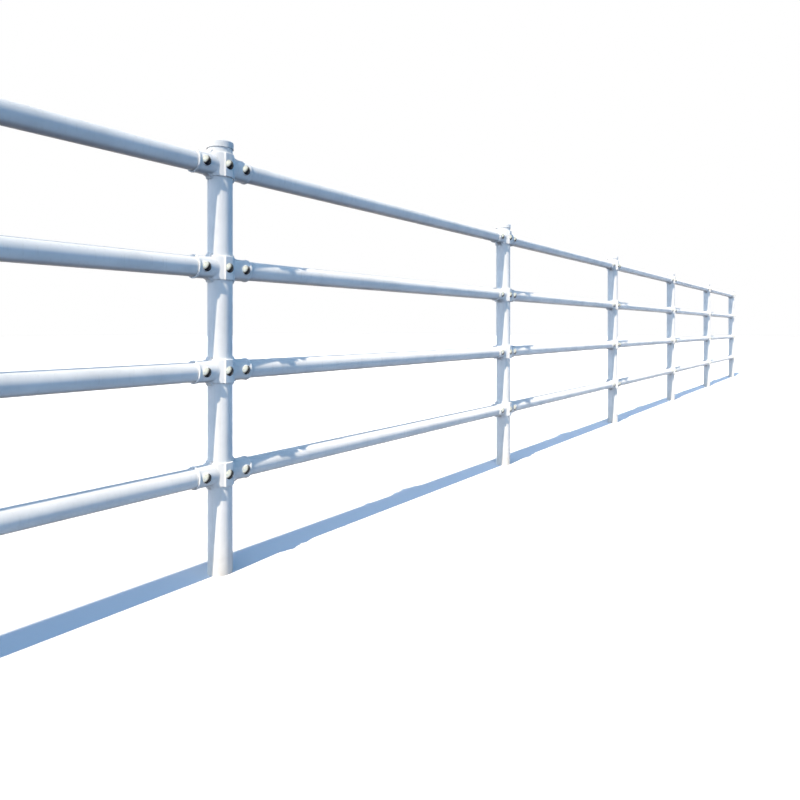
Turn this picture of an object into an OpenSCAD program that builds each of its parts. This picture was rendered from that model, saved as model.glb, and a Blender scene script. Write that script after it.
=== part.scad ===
// Pedestrian guardrail: round posts, four tube rails to a bay and a cast cross
// fitting wherever a rail passes a post. X runs along the fence, +Z is up and
// the roadside face looks to -Y. The origin is the foot of the middle post.

/* [Fence] */
// Number of bays, each with a post at both ends (an even number keeps a post in the middle)
bay_count = 6; // [2:2:6]
// Distance between post centres
bay_length = 1500; // [900:10:2000]
// Height of the post tube above the ground
post_height = 1050; // [800:5:1300]
// Height of the lowest rail's centre line above the ground
bottom_rail_height = 245; // [150:5:300]
// Distance from the post's end down to the top rail's centre line
top_rail_drop = 55; // [50:1:120]

/* [Tubes] */
// Outer diameter of the posts
post_od = 60.3; // [48:0.1:76]
// Wall of the post tube
post_wall = 3.2; // [2:0.1:5]
// Outer diameter of the rails
rail_od = 48.3; // [38:0.1:60]
// Wall of the rail tube
rail_wall = 2.6; // [2:0.1:4]

/* [Cross fitting] */
// Wall of the band round the post
band_wall = 3.6; // [3:0.1:6]
// Height of the band round the post
band_height = 58; // [50:1:90]
// Width of the flat pad that the centre bolt sits on
pad_width = 22; // [16:1:30]
// How far the flat pad stands out of the band
pad_rise = 2.5; // [1:0.1:5]
// Distance from the post's centre line to the end of a sleeve
sleeve_reach = 78; // [65:1:110]
// Wall of the sleeves that take the rails
sleeve_wall = 2.6; // [2:0.1:5]
// Width of the raised bead at a sleeve's mouth
bead_width = 5; // [3:0.5:8]
// How far the bead stands out of the sleeve
bead_rise = 1.5; // [0.5:0.1:3]
// Radius of the hollow web between sleeve and band
web_radius = 8; // [6:0.5:14]
// Thickness of that web
web_thickness = 20; // [10:1:24]
// Metal left between the post's bore and the bottom of a rail socket
socket_floor = 4.5; // [3:0.5:8]

/* [Post bolts] */
// Diameter of the bolt that holds each fitting to its post
bolt_d = 12; // [8:1:14]
// Diameter of its domed head
bolt_head_d = 20.5; // [16:0.5:22]
// Height of the domed head
bolt_head_height = 6.5; // [4:0.5:8]
// Width of the cap nut on the back, flat to flat
nut_width = 18; // [14:1:20]
// Height of the nut's six flats
nut_height = 7; // [5:0.5:9]
// Height of the nut's dome above its flats
nut_dome = 4; // [2:0.5:6]

/* [Cap] */
// Wall of the cap's skirt
cap_wall = 1.9; // [1.5:0.1:4]
// Length of post that the cap's skirt covers
cap_skirt = 12; // [8:1:20]
// Height of the cap's crown above the post's end
cap_crown = 8; // [5:0.5:14]
// Radius of the round edge between the cap's side and its crown
cap_edge = 5; // [2:0.5:6]

/* [Fits] */
// Radial clearance between a post and a fitting's band
post_clearance = 0.25; // [0.1:0.05:0.5]
// Radial clearance between a rail and its socket
rail_clearance = 0.3; // [0.1:0.05:0.6]
// Gap between a rail's end and the bottom of its socket
rail_end_gap = 0.5; // [0.3:0.1:3]
// Gap between the cap and the post's end
cap_gap = 0.2; // [0.1:0.1:0.5]
// Radial clearance of a bolt in its hole
bolt_clearance = 0.5; // [0.3:0.1:0.8]
// Gap between a bolt's head or nut and its pad
bolt_seat = 0.2; // [0.1:0.1:0.3]

/* [Hidden] */
$fn = 64;
rail_names = ["bottom", "lower", "upper", "top"];
rail_pitch = (post_height - top_rail_drop - bottom_rail_height) / (len(rail_names) - 1);
rail_levels = [for (level = [0 : len(rail_names) - 1]) bottom_rail_height + level * rail_pitch];
post_numbers = [for (n = [1 : bay_count + 1]) n];
bay_numbers = [for (n = [1 : bay_count]) n];

post_r = post_od / 2;
rail_r = rail_od / 2;
band_bore_r = post_r + post_clearance;
band_r = band_bore_r + band_wall;
pad_face = band_r + pad_rise;
socket_r = rail_r + rail_clearance;
sleeve_r = socket_r + sleeve_wall;
bead_r = sleeve_r + bead_rise;
socket_bottom = band_bore_r + socket_floor;
rail_end = socket_bottom + rail_end_gap;
hole_r = bolt_d / 2 + bolt_clearance;
bolt_foot = pad_face + bolt_seat;
cap_bore_r = post_r + post_clearance;
cap_r = cap_bore_r + cap_wall;
cap_foot = post_height - cap_skirt;
cap_top = post_height + cap_gap + cap_crown;
cut = 1;

function post_x(n) = (n - 1 - bay_count / 2) * bay_length;

module along_x(length) {
    rotate([0, 90, 0]) linear_extrude(length, center = true) children();
}

module ring(outer_r, inner_r) {
    difference() {
        circle(outer_r);
        circle(inner_r);
    }
}

// Bolt hole from front to back at a rail's level
module bolt_hole() {
    rotate([90, 0, 0]) cylinder(h = 4 * pad_face, r = hole_r, center = true);
}

// Round post, open at the foot, drilled at each rail's level
module post(n) {
    color("whitesmoke")
    translate([post_x(n), 0, 0])
    difference() {
        linear_extrude(post_height) ring(post_r, post_r - post_wall);
        for (level = rail_levels) translate([0, 0, level]) bolt_hole();
    }
}

// Lid-shaped cap whose skirt slips over the post's end
module post_cap(n) {
    shoulder = cap_top - cap_edge - crown_fall();
    color("whitesmoke")
    translate([post_x(n), 0, 0])
    difference() {
        rotate_extrude() cap_outline(shoulder);
        translate([0, 0, cap_foot - cut])
        cylinder(h = post_height + cap_gap - cap_foot + cut, r = cap_bore_r);
    }
}

// How far the shallow crown drops from its middle to the round edge
function crown_fall() = cap_crown / 4;

// Half section of the cap: upright side, round edge, shallow crown
module cap_outline(shoulder) {
    flat_r = cap_r - cap_edge;
    crown_r = (flat_r * flat_r + crown_fall() * crown_fall()) / (2 * crown_fall());
    translate([0, cap_foot]) square([cap_r, shoulder - cap_foot]);
    translate([0, shoulder]) square([flat_r, cap_edge]);
    intersection() {
        translate([flat_r, shoulder]) circle(cap_edge);
        translate([flat_r, shoulder]) square(cap_edge);
    }
    intersection() {
        translate([0, cap_top - crown_r]) circle(crown_r, $fn = 360);
        translate([0, shoulder]) square([flat_r, cap_top - shoulder]);
    }
}

// The four cross fittings that one post carries
module fittings(n) {
    color("whitesmoke")
    for (level = rail_levels)
        translate([post_x(n), 0, level]) cross_fitting();
}

// Band round the post with a sleeve on each side and a flat pad front and back
module cross_fitting() {
    difference() {
        union() {
            cylinder(h = band_height, r = band_r, center = true);
            cube([pad_width, 2 * pad_face, band_height], center = true);
            along_x(2 * sleeve_reach) circle(sleeve_r);
            for (side = [-1, 1]) {
                translate([side * (sleeve_reach - bead_width / 2), 0, 0]) along_x(bead_width) circle(bead_r);
                for (up = [-1, 1]) web(side, up);
            }
        }
        cylinder(h = 4 * band_height, r = band_bore_r, center = true);
        bolt_hole();
        for (side = [-1, 1])
            translate([side * (socket_bottom + sleeve_reach + cut) / 2, 0, 0])
            along_x(sleeve_reach + cut - socket_bottom) circle(socket_r);
    }
}

// Hollow-cut web in the corner between a sleeve and the band
module web(side, up) {
    corner = band_r + web_radius;
    rotate([90, 0, 0])
    linear_extrude(web_thickness, center = true)
    difference() {
        scale([side, up]) square([corner, sleeve_r + web_radius]);
        translate([side * corner, up * (sleeve_r + web_radius)]) circle(web_radius);
    }
}

// The bolts that hold all fittings to their posts
module post_bolts() {
    color("silver")
    for (n = post_numbers)
        for (level = rail_levels)
            translate([post_x(n), 0, level]) rotate([90, 0, 0]) post_bolt();
}

// Through bolt along Z: domed head up, cap nut down
module post_bolt() {
    dome_r = nut_width / 2;
    cylinder(h = 2 * bolt_foot + 2 * cut, r = bolt_d / 2, center = true);
    translate([0, 0, bolt_foot]) rotate_extrude() dome_outline(bolt_head_d / 2, bolt_head_height);
    translate([0, 0, -bolt_foot - nut_height]) cylinder(h = nut_height, d = nut_width / cos(30), $fn = 6);
    translate([0, 0, -bolt_foot - nut_height])
    mirror([0, 0, 1]) rotate_extrude() dome_outline(dome_r, nut_dome);
}

// Half section of a dome of a given foot radius and height
module dome_outline(foot_r, height) {
    dome_r = (foot_r * foot_r + height * height) / (2 * height);
    intersection() {
        translate([0, height - dome_r]) circle(dome_r, $fn = 180);
        square([foot_r, height]);
    }
}

// One rail of a bay, its ends inside the sockets of both fittings
module rail(n, level) {
    color("whitesmoke")
    translate([(post_x(n) + post_x(n + 1)) / 2, 0, rail_levels[level]])
    along_x(bay_length - 2 * rail_end) ring(rail_r, rail_r - rail_wall);
}

for (n = post_numbers) {
    post(n);
    post_cap(n);
    fittings(n);
}
post_bolts();
for (n = bay_numbers)
    for (level = [0 : 3])
        rail(n, level);
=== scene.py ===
import math
import bpy
import bmesh
from mathutils import Matrix, Vector


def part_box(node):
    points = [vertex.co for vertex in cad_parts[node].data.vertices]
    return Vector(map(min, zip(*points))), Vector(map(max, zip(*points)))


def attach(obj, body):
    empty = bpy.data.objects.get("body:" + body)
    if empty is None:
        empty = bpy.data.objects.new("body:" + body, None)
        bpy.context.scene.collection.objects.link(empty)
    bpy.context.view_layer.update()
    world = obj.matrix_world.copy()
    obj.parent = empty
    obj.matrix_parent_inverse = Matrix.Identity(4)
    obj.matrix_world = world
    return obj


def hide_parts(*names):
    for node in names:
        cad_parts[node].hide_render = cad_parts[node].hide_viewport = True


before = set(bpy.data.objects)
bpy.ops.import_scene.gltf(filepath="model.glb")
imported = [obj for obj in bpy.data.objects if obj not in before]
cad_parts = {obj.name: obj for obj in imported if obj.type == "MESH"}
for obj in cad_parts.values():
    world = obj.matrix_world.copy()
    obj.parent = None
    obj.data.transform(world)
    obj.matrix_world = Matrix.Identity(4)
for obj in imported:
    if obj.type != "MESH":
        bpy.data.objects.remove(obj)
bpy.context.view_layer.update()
mm = 0.001
print("frame loaded:", len(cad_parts), "CAD nodes")


def centreOf(node):
    low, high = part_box(node)
    return (low + high) / 2


def spanOf(node):
    low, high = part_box(node)
    return high - low


# places and sizes that everything else is set out from, all read from the frame
railNames = ["bottom", "lower", "upper", "top"]
postCount = sum(1 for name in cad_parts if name.startswith("post_") and name[5:].isdigit())
postX = [centreOf(f"post_{n + 1}").x for n in range(postCount)]
railZ = [centreOf(f"{name}_rail_1").z for name in railNames]
postRadius = spanOf("post_1").x / 2
railRadius = spanOf("top_rail_1").z / 2
padFace = spanOf("fittings_1").y / 2


def colour(hexCode):
    # sRGB hex to the linear values that Blender mixes
    channels = [int(hexCode[i:i + 2], 16) / 255 for i in (0, 2, 4)]
    return tuple(c / 12.92 if c <= 0.04045 else ((c + 0.055) / 1.055) ** 2.4 for c in channels) + (1.0,)


def addNode(tree, kind, settings=None, inputs=None, links=None):
    # one node with its properties, its socket values and the sockets that feed it
    node = tree.nodes.new(kind)
    for name, value in (settings or {}).items():
        setattr(node, name, value)
    for name, value in (inputs or {}).items():
        node.inputs[name].default_value = value
    for name, source in (links or {}).items():
        tree.links.new(source, node.inputs[name])
    return node


def newMaterial(name):
    made = bpy.data.materials.new(name)
    made.use_nodes = True
    made.node_tree.nodes.clear()
    return made, made.node_tree


def linkPiece(name, mesh, material):
    mesh.materials.clear()
    mesh.materials.append(material)
    piece = bpy.data.objects.new(name, mesh)
    bpy.context.scene.collection.objects.link(piece)
    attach(piece, "root")
    return piece


def smoothByAngle(mesh, degrees):
    # soft shading, with a crisp line where two faces meet at more than this angle
    bm = bmesh.new()
    bm.from_mesh(mesh)
    for face in bm.faces:
        face.smooth = True
    for edge in bm.edges:
        edge.smooth = len(edge.link_faces) == 2 and edge.calc_face_angle(0) < math.radians(degrees)
    bm.to_mesh(mesh)
    bm.free()


coating = {
    "white": "F3F2EF",          # the coat where rain keeps it clean
    "chalk": "E6E6E4",          # slightly weathered patches
    "dustAndShade": "A79F97",           # road dust that rain doesn't reach, also the painted shade on the undersides and in a casting's corners
    "splash": "D3CFC6",         # dried splash near the ground
    "roughness": 0.42,
    "polished": 0.06,           # how far the smoothest patches lie below that roughness
    "dulled": 0.14,             # and how far the chalkiest lie above it
    "patchSize": 90,            # mm
    "patchFrom": 0.42,          # noise value at which a patch starts to turn chalky
    "patchFull": 0.72,
    "streakWidth": 7,           # mm
    "streakLength": 250,        # mm
    "streakFrom": 0.56,
    "streakFull": 0.8,
    "streakShare": 0.35,
    "dustAndShadeFrom": -0.62,          # how far down a surface must face before the dust and painted shade show
    "dustAndShadeFull": -0.96,
    "dustAndShadeShare": 0.75,
    "splashHeight": 110,        # mm
    "splashGrain": 12,          # mm
    "splashShare": 0.8,
    "tubeGrain": 2.2,           # mm, orange peel of the coat on drawn tube
    "tubeGrainDepth": 0.05,     # mm
    "castGrain": 3.4,           # mm, the sand-cast skin under the coat, drawn a little coarse to show
    "castGrainDepth": 0.12,     # mm
    "grainStrength": 0.35,
}


def coatedMetal(name, grainSize, grainDepth, holdsPaintedShade):
    # white semi-gloss powder coat on steel: bright and even, a faint orange peel, chalky patches,
    # thin dust and painted shade on the undersides, dried splash near the ground, painted shade in a
    # casting's corners
    made, tree = newMaterial(name)
    place = addNode(tree, "ShaderNodeTexCoord").outputs["Object"]
    surface = addNode(tree, "ShaderNodeNewGeometry")
    patches = addNode(tree, "ShaderNodeTexNoise", None,
                      {"Scale": 1 / (coating["patchSize"] * mm), "Detail": 4.0, "Roughness": 0.6},
                      {"Vector": place})
    patchMask = addNode(tree, "ShaderNodeMapRange", None,
                        {"From Min": coating["patchFrom"], "From Max": coating["patchFull"]},
                        {"Value": patches.outputs["Fac"]})
    base = addNode(tree, "ShaderNodeMix", {"data_type": "RGBA"},
                   {"A": colour(coating["white"]), "B": colour(coating["chalk"])},
                   {"Factor": patchMask.outputs["Result"]})
    # rain streaks: noise pulled out along the height
    fine = 1 / (coating["streakWidth"] * mm)
    pulled = addNode(tree, "ShaderNodeMapping", None,
                     {"Scale": (fine, fine, 1 / (coating["streakLength"] * mm))}, {"Vector": place})
    streaks = addNode(tree, "ShaderNodeTexNoise", None,
                      {"Scale": 1.0, "Detail": 3.0, "Roughness": 0.55}, {"Vector": pulled.outputs["Vector"]})
    streakMask = addNode(tree, "ShaderNodeMapRange", None,
                         {"From Min": coating["streakFrom"], "From Max": coating["streakFull"],
                          "To Max": coating["streakShare"]},
                         {"Value": streaks.outputs["Fac"]})
    streaked = addNode(tree, "ShaderNodeMix", {"data_type": "RGBA"}, {"B": colour(coating["splash"])},
                       {"Factor": streakMask.outputs["Result"], "A": base.outputs["Result"]})
    # dust and painted shade on what faces the ground
    facing = addNode(tree, "ShaderNodeSeparateXYZ", None, None, {"Vector": surface.outputs["Normal"]})
    under = addNode(tree, "ShaderNodeMapRange", {"interpolation_type": "SMOOTHSTEP"},
                    {"From Min": coating["dustAndShadeFrom"], "From Max": coating["dustAndShadeFull"],
                     "To Max": coating["dustAndShadeShare"]},
                    {"Value": facing.outputs["Z"]})
    dustAndShadeMix = addNode(tree, "ShaderNodeMix", {"data_type": "RGBA"}, {"B": colour(coating["dustAndShade"])},
                    {"Factor": under.outputs["Result"], "A": streaked.outputs["Result"]})
    # splash that fades out above the ground
    height = addNode(tree, "ShaderNodeSeparateXYZ", None, None, {"Vector": place})
    low = addNode(tree, "ShaderNodeMapRange", {"interpolation_type": "SMOOTHSTEP"},
                  {"From Min": coating["splashHeight"] * mm, "From Max": 0.0,
                   "To Max": coating["splashShare"]},
                  {"Value": height.outputs["Z"]})
    splashNoise = addNode(tree, "ShaderNodeTexNoise", None,
                          {"Scale": 1 / (coating["splashGrain"] * mm), "Detail": 5.0}, {"Vector": place})
    splashMask = addNode(tree, "ShaderNodeMath", {"operation": "MULTIPLY"}, None,
                         {0: low.outputs["Result"], 1: splashNoise.outputs["Fac"]})
    splashed = addNode(tree, "ShaderNodeMix", {"data_type": "RGBA"}, {"B": colour(coating["splash"])},
                       {"Factor": splashMask.outputs["Value"], "A": dustAndShadeMix.outputs["Result"]})
    finish = splashed
    if holdsPaintedShade:
        # painted shade in the corners of a casting, in the dust tone
        corner = addNode(tree, "ShaderNodeAttribute", {"attribute_name": "paintedShadeAndTarnish"})
        finish = addNode(tree, "ShaderNodeMix", {"data_type": "RGBA"}, {"B": colour(coating["dustAndShade"])},
                         {"Factor": corner.outputs["Fac"], "A": splashed.outputs["Result"]})
    gloss = addNode(tree, "ShaderNodeMapRange", None,
                    {"To Min": coating["roughness"] - coating["polished"],
                     "To Max": coating["roughness"] + coating["dulled"]},
                    {"Value": patches.outputs["Fac"]})
    grain = addNode(tree, "ShaderNodeTexNoise", None,
                    {"Scale": 1 / (grainSize * mm), "Detail": 2.0}, {"Vector": place})
    bump = addNode(tree, "ShaderNodeBump", None,
                   {"Strength": coating["grainStrength"], "Distance": grainDepth * mm},
                   {"Height": grain.outputs["Fac"]})
    shader = addNode(tree, "ShaderNodeBsdfPrincipled", None,
                     {"IOR": 1.5, "Specular IOR Level": 0.3, "Diffuse Roughness": 1.0},
                     {"Base Color": finish.outputs["Result"], "Roughness": gloss.outputs["Result"],
                      "Normal": bump.outputs["Normal"]})
    addNode(tree, "ShaderNodeOutputMaterial", None, None, {"Surface": shader.outputs["BSDF"]})
    return made


tubeCoat = coatedMetal("whitePowderCoatOnTube", coating["tubeGrain"], coating["tubeGrainDepth"], False)
castCoat = coatedMetal("whitePowderCoatOnCasting", coating["castGrain"], coating["castGrainDepth"], True)

steel = {
    "bright": "EAEDE2",         # polished crown
    "paintedShadeAndTarnish": "0B1018",          # painted shade and dark reflection on the lower side and round the foot of a head; even tarnish on a nut
    "roughness": 0.2,
    "smoother": 0.05,           # how far the finest scratches lie below that roughness
    "rougher": 0.15,            # and how far the coarsest lie above it
    "scratchSize": 0.9,         # mm, coarser than real polishing marks so that they show
    "scratchDepth": 0.02,       # mm
}


def stainlessSteel():
    # polished stainless steel: mirror-like crown with fine scratches, painted shade and dark reflection on
    # the side away from the sun and round the foot
    made, tree = newMaterial("polishedStainlessSteel")
    place = addNode(tree, "ShaderNodeTexCoord").outputs["Object"]
    held = addNode(tree, "ShaderNodeAttribute", {"attribute_name": "paintedShadeAndTarnish"})
    scratches = addNode(tree, "ShaderNodeTexNoise", None,
                        {"Scale": 1 / (steel["scratchSize"] * mm), "Detail": 3.0}, {"Vector": place})
    tint = addNode(tree, "ShaderNodeMix", {"data_type": "RGBA"},
                   {"A": colour(steel["bright"]), "B": colour(steel["paintedShadeAndTarnish"])},
                   {"Factor": held.outputs["Fac"]})
    dull = addNode(tree, "ShaderNodeMapRange", None,
                   {"To Min": steel["roughness"] - steel["smoother"],
                    "To Max": steel["roughness"] + steel["rougher"]},
                   {"Value": scratches.outputs["Fac"]})
    bump = addNode(tree, "ShaderNodeBump", None, {"Strength": 0.15, "Distance": steel["scratchDepth"] * mm},
                   {"Height": scratches.outputs["Fac"]})
    shader = addNode(tree, "ShaderNodeBsdfPrincipled", None, {"Metallic": 1.0},
                     {"Base Color": tint.outputs["Result"], "Roughness": dull.outputs["Result"],
                      "Normal": bump.outputs["Normal"]})
    addNode(tree, "ShaderNodeOutputMaterial", None, None, {"Surface": shader.outputs["BSDF"]})
    return made


boltSteel = stainlessSteel()
print("coating and steel made")

# posts, caps and rails keep their CAD shape
for name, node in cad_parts.items():
    if name.startswith("fittings") or name == "post_bolts":
        continue
    node.data.materials.clear()
    node.data.materials.append(tubeCoat)
print("tubes and caps coated")

# a cross fitting: the CAD form with cast, rounded edges
casting = {
    "voxel": 1.0,               # mm, grid that the soft form is made on
    "softening": 9,             # passes that round its edges
    "faces": 9000,              # triangles kept per fitting
    "creaseAngle": 50,          # degrees
    "socketClearance": 0.3,     # mm between rail and socket
    "sleeveWall": 2.6,          # mm
    "bossRadius": 12.4,         # mm, low round seat under a sleeve bolt
    "bossRise": 0.9,            # mm above the sleeve
    "bossSink": 1.4,            # mm that its foot lies inside the sleeve's wall
    "bossSteps": 48,
    "sleeveBoltX": 58,          # mm from the post's centre
    "cornerShadeDepth": 0.45,         # painted shade in the corner between sleeve and band, from 0 to 1
    "cornerShadeAt": 6,               # mm from the post's side to the middle of that corner
    "cornerShadeWidth": 7,            # mm to either side of it
    "cornerShadeBelow": 30,           # mm under the rail's centre line where it is fullest
    "cornerShadeAbove": 0.25,         # share of it over that line
    "cornerShadeFront": 0.2,          # share of it on the flat pads, past padFrom
    "padFrom": 30,              # mm
}
sleeveRadius = railRadius + (casting["socketClearance"] + casting["sleeveWall"]) * mm
bossSeat = sleeveRadius + casting["bossRise"] * mm


def addBoss(bm, side, front):
    # a low round seat on the sleeve, its foot sunk into the sleeve's wall
    made = bmesh.ops.create_circle(bm, cap_ends=True, radius=casting["bossRadius"] * mm,
                                   segments=casting["bossSteps"])
    turn = Matrix.Rotation(math.radians(90), 4, "X")
    place = Matrix.Translation((side * casting["sleeveBoltX"] * mm, 0, 0)) @ turn
    bmesh.ops.transform(bm, matrix=place, verts=made["verts"])
    face = made["verts"][0].link_faces[0]
    grown = bmesh.ops.extrude_face_region(bm, geom=[face])
    top = [v for v in grown["geom"] if isinstance(v, bmesh.types.BMVert)]
    for vert in top:
        vert.co.y = front * bossSeat
    inside = sleeveRadius - casting["bossSink"] * mm
    for vert in made["verts"]:
        if vert.is_valid and vert not in top:
            vert.co.y = front * math.sqrt(inside ** 2 - vert.co.z ** 2)


def softCasting():
    # one fitting, cut out of the CAD node, merged and given soft edges on a fine grid
    bm = bmesh.new()
    bm.from_mesh(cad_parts["fittings_1"].data)
    bmesh.ops.remove_doubles(bm, verts=bm.verts, dist=0.01 * mm)
    split = (railZ[0] + railZ[1]) / 2
    bmesh.ops.delete(bm, geom=[v for v in bm.verts if v.co.z > split], context="VERTS")
    bmesh.ops.translate(bm, vec=(-postX[0], 0, -railZ[0]), verts=bm.verts)
    for side in (-1, 1):
        for front in (-1, 1):
            addBoss(bm, side, front)
    bmesh.ops.recalc_face_normals(bm, faces=bm.faces)
    mesh = bpy.data.meshes.new("softCasting")
    bm.to_mesh(mesh)
    bm.free()
    work = bpy.data.objects.new("softCasting", mesh)
    bpy.context.scene.collection.objects.link(work)
    grid = work.modifiers.new("grid", "REMESH")
    grid.mode = "VOXEL"
    grid.voxel_size = casting["voxel"] * mm
    soft = work.modifiers.new("soft", "SMOOTH")
    soft.factor = 0.5
    soft.iterations = casting["softening"]
    bpy.context.view_layer.update()
    evaluated = work.evaluated_get(bpy.context.evaluated_depsgraph_get())
    dense = len(evaluated.data.polygons) * 2
    thin = work.modifiers.new("thin", "DECIMATE")
    thin.ratio = min(1.0, casting["faces"] / dense)
    bpy.context.view_layer.update()
    evaluated = work.evaluated_get(bpy.context.evaluated_depsgraph_get())
    made = bpy.data.meshes.new_from_object(evaluated)
    bpy.data.objects.remove(work)
    return made


def paintedShadeOfCasting(point):
    # painted shade in the corners where the sleeves meet the band, most of it low down
    fromCorner = abs(abs(point.x) - postRadius - casting["cornerShadeAt"] * mm)
    corner = max(0.0, 1 - fromCorner / (casting["cornerShadeWidth"] * mm))
    below = max(0.0, -point.z / (casting["cornerShadeBelow"] * mm))
    rest = 1.0 if abs(point.y) < casting["padFrom"] * mm else casting["cornerShadeFront"]
    lowDown = casting["cornerShadeAbove"] + (1 - casting["cornerShadeAbove"]) * below
    return casting["cornerShadeDepth"] * corner * lowDown * rest


oneCasting = softCasting()
print("soft casting:", len(oneCasting.polygons), "faces")
for n in range(postCount):
    bm = bmesh.new()
    # painted shade of the fitting's corners, one value per point
    paintedShadeAndTarnish = []
    for level in railZ:
        bm.from_mesh(oneCasting)
        bm.verts.ensure_lookup_table()
        fresh = bm.verts[len(paintedShadeAndTarnish):]
        paintedShadeAndTarnish += [paintedShadeOfCasting(v.co) for v in fresh]
        bmesh.ops.translate(bm, vec=(postX[n], 0, level), verts=fresh)
    mesh = bpy.data.meshes.new(f"castFittings_{n + 1}")
    bm.to_mesh(mesh)
    bm.free()
    mesh.attributes.new("paintedShadeAndTarnish", "FLOAT", "POINT").data.foreach_set("value", paintedShadeAndTarnish)
    smoothByAngle(mesh, casting["creaseAngle"])
    piece = linkPiece(f"castFittings_{n + 1}", mesh, castCoat)
    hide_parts(f"fittings_{n + 1}")
bpy.data.meshes.remove(oneCasting)
print("cast fittings placed")

# domed bolt heads in front, cap nuts behind
bolt = {
    "headRadius": 10.25,        # mm
    "headHeight": 6.4,          # mm, dome and rim
    "rim": 1.2,                 # mm, upright edge under the dome
    "undercut": 0.4,            # mm, the rim's rounded foot
    "washerRadius": 11.6,       # mm
    "washer": 1.0,              # mm
    "bevel": 0.3,               # mm, on the washer's edge
    "steps": 28,                # faces round a head
    "rings": 7,                 # faces from rim to crown
    "stemRadius": 6,            # mm
    "stemLength": 3,            # mm, the part that shows between head and casting
    "stemSteps": 16,
    "seatGap": 0.1,             # mm between a washer and its pad
    "creaseAngle": 35,          # degrees
}
capNutSizes = {
    "width": 18,                # mm, flat to flat
    "height": 7,                # mm
    "bevel": 0.7,               # mm
    "dome": 3.8,                # mm
    "domeShare": 0.88,          # the dome's radius as a share of half the width
    "domeFoot": 0.3,            # upright share of the dome's height
    "domeRings": 5,
    "steps": 20,
    "sink": 1,                  # mm that dome and stem reach into the flats
}
# painted shade and dark reflection on the bolt heads; the nuts' tarnish is even
shadeAndTarnish = {
    "shadeSideShare": 0.58,           # how far the painted dark side lies away from the sun rather than below
    "start": 0.36,              # how far past the crown it reaches
    "slope": 3.0,               # how sharply it sets in
    "footFrom": 0.85,           # share of the radius where the ring round the foot starts
    "footSlope": 1.2,
    "nut": 0.35,                # even tarnish of a nut, from 0 to 1
}


def spin(bm, outline, steps):
    # outline is (radius, height) pairs in mm, spun about the bolt's own axis
    verts = [bm.verts.new((radius * mm, 0, height * mm)) for radius, height in outline]
    edges = [bm.edges.new(pair) for pair in zip(verts, verts[1:])]
    bmesh.ops.spin(bm, geom=verts + edges, cent=(0, 0, 0), axis=(0, 0, 1), dvec=(0, 0, 0),
                   angle=2 * math.pi, steps=steps, use_merge=True, use_duplicate=False)
    bmesh.ops.remove_doubles(bm, verts=bm.verts, dist=0.01 * mm)


def headOutline():
    # stem, washer, upright rim and dome, from the foot up to the crown
    radius, rim, seat = bolt["headRadius"], bolt["rim"], bolt["washer"]
    edge, bevel = bolt["washerRadius"], bolt["bevel"]
    rise = bolt["headHeight"] - rim
    ball = (radius * radius + rise * rise) / (2 * rise)
    sweep = math.asin(radius / ball)
    outline = [(0, -bolt["stemLength"]), (bolt["stemRadius"], -bolt["stemLength"]), (bolt["stemRadius"], 0)]
    outline += [(edge, 0), (edge, seat - bevel), (edge - bevel, seat)]
    outline += [(radius - bolt["undercut"], seat), (radius, seat + bevel)]
    for k in range(bolt["rings"] + 1):
        angle = sweep * (1 - k / bolt["rings"])
        outline.append((ball * math.sin(angle), bolt["headHeight"] - ball + ball * math.cos(angle)))
    return outline


def nutDomeOutline():
    # rounded dome of a cap nut, its foot sunk in the flats
    radius = capNutSizes["width"] / 2 * capNutSizes["domeShare"]
    height, rise, foot = capNutSizes["height"], capNutSizes["dome"], capNutSizes["domeFoot"]
    low = height - capNutSizes["sink"]
    outline = [(0, low), (radius, low), (radius, height + rise * foot)]
    for k in range(1, capNutSizes["domeRings"] + 1):
        angle = math.pi / 2 * k / capNutSizes["domeRings"]
        outline.append((radius * math.cos(angle), height + rise * (foot + (1 - foot) * math.sin(angle))))
    return outline


def boltHead():
    bm = bmesh.new()
    spin(bm, headOutline(), bolt["steps"])
    return bm


def addCopy(target, source, place):
    # source joined into target, set at place
    mesh = bpy.data.meshes.new("copy")
    source.to_mesh(mesh)
    mesh.transform(place)
    target.from_mesh(mesh)
    bpy.data.meshes.remove(mesh)


def capNut():
    # hexagon with softened edges, a dome on top and the bolt's stem below
    bm = bmesh.new()
    corner = capNutSizes["width"] * mm / math.sqrt(3)
    height = capNutSizes["height"] * mm
    made = bmesh.ops.create_cone(bm, cap_ends=True, segments=6, radius1=corner, radius2=corner, depth=height)
    bmesh.ops.translate(bm, vec=(0, 0, height / 2), verts=made["verts"])
    bmesh.ops.bevel(bm, geom=list(bm.edges), offset=capNutSizes["bevel"] * mm, offset_type="OFFSET",
                    affect="EDGES", segments=2, profile=0.5, material=-1)
    turned = bmesh.new()
    spin(turned, nutDomeOutline(), capNutSizes["steps"])
    radius, foot, top = bolt["stemRadius"], -bolt["stemLength"], capNutSizes["sink"]
    spin(turned, [(0, foot), (radius, foot), (radius, top), (0, top)], bolt["stemSteps"])
    addCopy(bm, turned, Matrix.Identity(4))
    turned.free()
    return bm


def paintedShadeOfHead(point):
    # painted shade and dark reflection on the lower side of a head, away from the sun, and round its foot
    across, up = point.x / (bolt["headRadius"] * mm), point.y / (bolt["headRadius"] * mm)
    shadeSide = across * shadeAndTarnish["shadeSideShare"] - up * (1 - shadeAndTarnish["shadeSideShare"])
    foot = max(0.0, math.hypot(across, up) - shadeAndTarnish["footFrom"])
    return max(0.0, min(1.0, shadeAndTarnish["slope"] * (shadeSide + shadeAndTarnish["start"]) + shadeAndTarnish["footSlope"] * foot))


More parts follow.
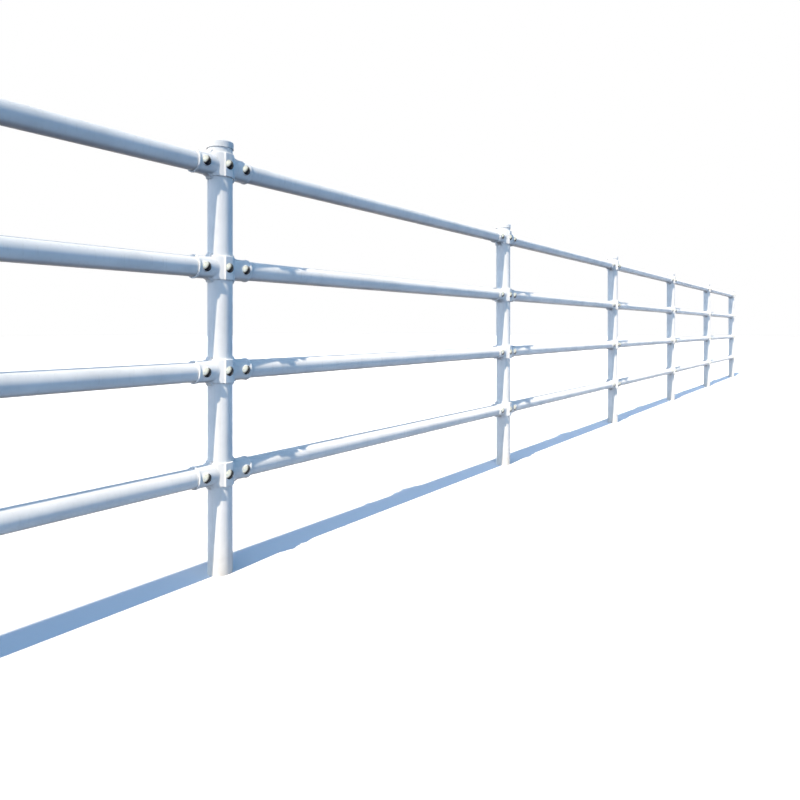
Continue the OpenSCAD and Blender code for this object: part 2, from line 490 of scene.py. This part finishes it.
def placeBolts(name, positions, seat):
    # a domed head in front and a cap nut behind at every rail's level
    bm = bmesh.new()
    head, nut = boltHead(), capNut()
    for source in (head, nut):
        bmesh.ops.recalc_face_normals(source, faces=source.faces)
        source.verts.ensure_lookup_table()
    # painted shade on every head, even tarnish on every nut
    onePair = [paintedShadeOfHead(v.co) for v in head.verts] + [shadeAndTarnish["nut"] for v in nut.verts]
    tints = []
    frontTurn = Matrix.Rotation(math.radians(90), 4, "X")
    backTurn = Matrix.Rotation(math.radians(-90), 4, "X")
    for x in positions:
        for level in railZ:
            addCopy(bm, head, Matrix.Translation((x, -seat, level)) @ frontTurn)
            addCopy(bm, nut, Matrix.Translation((x, seat, level)) @ backTurn)
            tints += onePair
    mesh = bpy.data.meshes.new(name)
    bm.to_mesh(mesh)
    for old in (bm, head, nut):
        old.free()
    mesh.attributes.new("paintedShadeAndTarnish", "FLOAT", "POINT").data.foreach_set("value", tints)
    smoothByAngle(mesh, bolt["creaseAngle"])
    return linkPiece(name, mesh, boltSteel)


postBolts = placeBolts("postBolts", postX, padFace + bolt["seatGap"] * mm)
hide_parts("post_bolts")
sleeveBoltX = [x + side * casting["sleeveBoltX"] * mm for x in postX for side in (-1, 1)]
placeBolts("sleeveBolts", sleeveBoltX, bossSeat)
print("bolts and cap nuts placed")


def seenDirectly(tree):
    # 1 where the eye, a reflection or clear glass looks straight at a surface, 0 where it only gives light
    ray = addNode(tree, "ShaderNodeLightPath")
    seen = addNode(tree, "ShaderNodeMath", {"operation": "MAXIMUM"}, None,
                   {0: ray.outputs["Is Camera Ray"], 1: ray.outputs["Is Glossy Ray"]})
    shown = addNode(tree, "ShaderNodeMath", {"operation": "MAXIMUM"}, None,
                    {0: seen.outputs["Value"], 1: ray.outputs["Is Transmission Ray"]})
    return shown.outputs["Value"]


ground = {
    "size": 80,                 # m
    "pale": "FFFFFF",           # as seen
    "near": "AE9C8C",           # what it throws back close to the fence, weathered paving
    "far": "0A3A66",            # and farther out, open ground under a blue sky
    "nearFrom": 0.05,           # m from the fence's line
    "nearWidth": 0.45,          # m
}


def paleFloor():
    # plain pale floor; what it throws back on the fence is the tone of weathered paving
    made, tree = newMaterial("paleFloor")
    place = addNode(tree, "ShaderNodeTexCoord").outputs["Object"]
    across = addNode(tree, "ShaderNodeSeparateXYZ", None, None, {"Vector": place})
    off = addNode(tree, "ShaderNodeMath", {"operation": "ABSOLUTE"}, None, {0: across.outputs["Y"]})
    far = addNode(tree, "ShaderNodeMapRange", None,
                  {"From Min": ground["nearFrom"], "From Max": ground["nearWidth"]},
                  {"Value": off.outputs["Value"]})
    bounce = addNode(tree, "ShaderNodeMix", {"data_type": "RGBA"},
                     {"A": colour(ground["near"]), "B": colour(ground["far"])},
                     {"Factor": far.outputs["Result"]})
    tone = addNode(tree, "ShaderNodeMix", {"data_type": "RGBA"}, {"B": colour(ground["pale"])},
                   {"Factor": seenDirectly(tree), "A": bounce.outputs["Result"]})
    shader = addNode(tree, "ShaderNodeBsdfDiffuse", None, {"Roughness": 1.0},
                     {"Color": tone.outputs["Result"]})
    addNode(tree, "ShaderNodeOutputMaterial", None, None, {"Surface": shader.outputs["BSDF"]})
    return made


bm = bmesh.new()
bmesh.ops.create_grid(bm, x_segments=1, y_segments=1, size=ground["size"] / 2)
floorMesh = bpy.data.meshes.new("floor")
bm.to_mesh(floorMesh)
bm.free()
floorMesh.materials.append(paleFloor())
floor = bpy.data.objects.new("floor", floorMesh)
bpy.context.scene.collection.objects.link(floor)

light = {
    "sunHeight": 48,            # degrees above the ground
    "sunTurn": 4,               # degrees off the fence's line, from its near end
    "sunStrength": 5.2,
    "sunColour": (1.0, 0.88, 0.73),
    "sunSize": 0.8,             # degrees
    "zenith": (0.0, 0.07, 0.22),
    "horizonSun": (2.4, 2.9, 3.55),
    "horizonAway": (0.0, 0.5, 1.03),
    "sunSideFrom": 0.35,        # along X, where the brighter side of the sky starts
    "sunSideFull": -0.95,
    "horizonFade": 2.0,         # how fast the horizon's light falls off with height
}


def addSun():
    sunData = bpy.data.lights.new("sun", "SUN")
    sunData.energy = light["sunStrength"]
    sunData.color = light["sunColour"]
    sunData.angle = math.radians(light["sunSize"])
    sun = bpy.data.objects.new("sun", sunData)
    height, turn = math.radians(light["sunHeight"]), math.radians(light["sunTurn"])
    travel = Vector((math.cos(height) * math.cos(turn), math.cos(height) * math.sin(turn), -math.sin(height)))
    sun.rotation_euler = travel.to_track_quat("-Z", "Y").to_euler()
    bpy.context.scene.collection.objects.link(sun)


def softSky():
    # white to the eye and in reflections; as light, a soft sky that is brightest round the sun's side
    world = bpy.data.worlds.new("softSky")
    world.use_nodes = True
    tree = world.node_tree
    tree.nodes.clear()
    direction = addNode(tree, "ShaderNodeTexCoord").outputs["Generated"]
    axes = addNode(tree, "ShaderNodeSeparateXYZ", None, None, {"Vector": direction})
    towardSun = addNode(tree, "ShaderNodeMapRange", {"interpolation_type": "SMOOTHSTEP"},
                        {"From Min": light["sunSideFrom"], "From Max": light["sunSideFull"]},
                        {"Value": axes.outputs["X"]})
    horizon = addNode(tree, "ShaderNodeMix", {"data_type": "RGBA", "clamp_factor": True},
                      {"A": light["horizonAway"] + (1,), "B": light["horizonSun"] + (1,)},
                      {"Factor": towardSun.outputs["Result"]})
    rise = addNode(tree, "ShaderNodeMath", {"operation": "SUBTRACT", "use_clamp": True}, {0: 1.0},
                   {1: axes.outputs["Z"]})
    lowness = addNode(tree, "ShaderNodeMath", {"operation": "POWER"}, {1: light["horizonFade"]},
                      {0: rise.outputs["Value"]})
    sky = addNode(tree, "ShaderNodeMix", {"data_type": "RGBA"}, {"A": light["zenith"] + (1,)},
                  {"Factor": lowness.outputs["Value"], "B": horizon.outputs["Result"]})
    tone = addNode(tree, "ShaderNodeMix", {"data_type": "RGBA"}, {"B": (1, 1, 1, 1)},
                   {"Factor": seenDirectly(tree), "A": sky.outputs["Result"]})
    back = addNode(tree, "ShaderNodeBackground", None, {"Strength": 1.0}, {"Color": tone.outputs["Result"]})
    addNode(tree, "ShaderNodeOutputWorld", None, None, {"Surface": back.outputs["Background"]})
    bpy.context.scene.world = world


addSun()
softSky()
print("floor and light set")

shot = {
    "fromPost": (-0.952, -1.2611),   # m from the second post, along and in front of the fence
    "eyeHeight": 0.5996,             # m
    "heading": 36.707,               # degrees from the fence's line
    "lens": 27.78,                   # mm on a 36 mm frame
    "shiftY": -0.09,
}
lens = bpy.data.cameras.new("camera")
lens.lens = shot["lens"]
lens.sensor_width = 36
lens.shift_y = shot["shiftY"]
lens.clip_start = 0.05
lens.clip_end = 200
camera = bpy.data.objects.new("camera", lens)
camera.location = (postX[1] + shot["fromPost"][0], shot["fromPost"][1], shot["eyeHeight"])
camera.rotation_euler = (math.radians(90), 0, math.radians(shot["heading"] - 90))
bpy.context.scene.collection.objects.link(camera)
bpy.context.scene.camera = camera
bpy.context.scene.view_settings.view_transform = "Standard"
print("camera set")
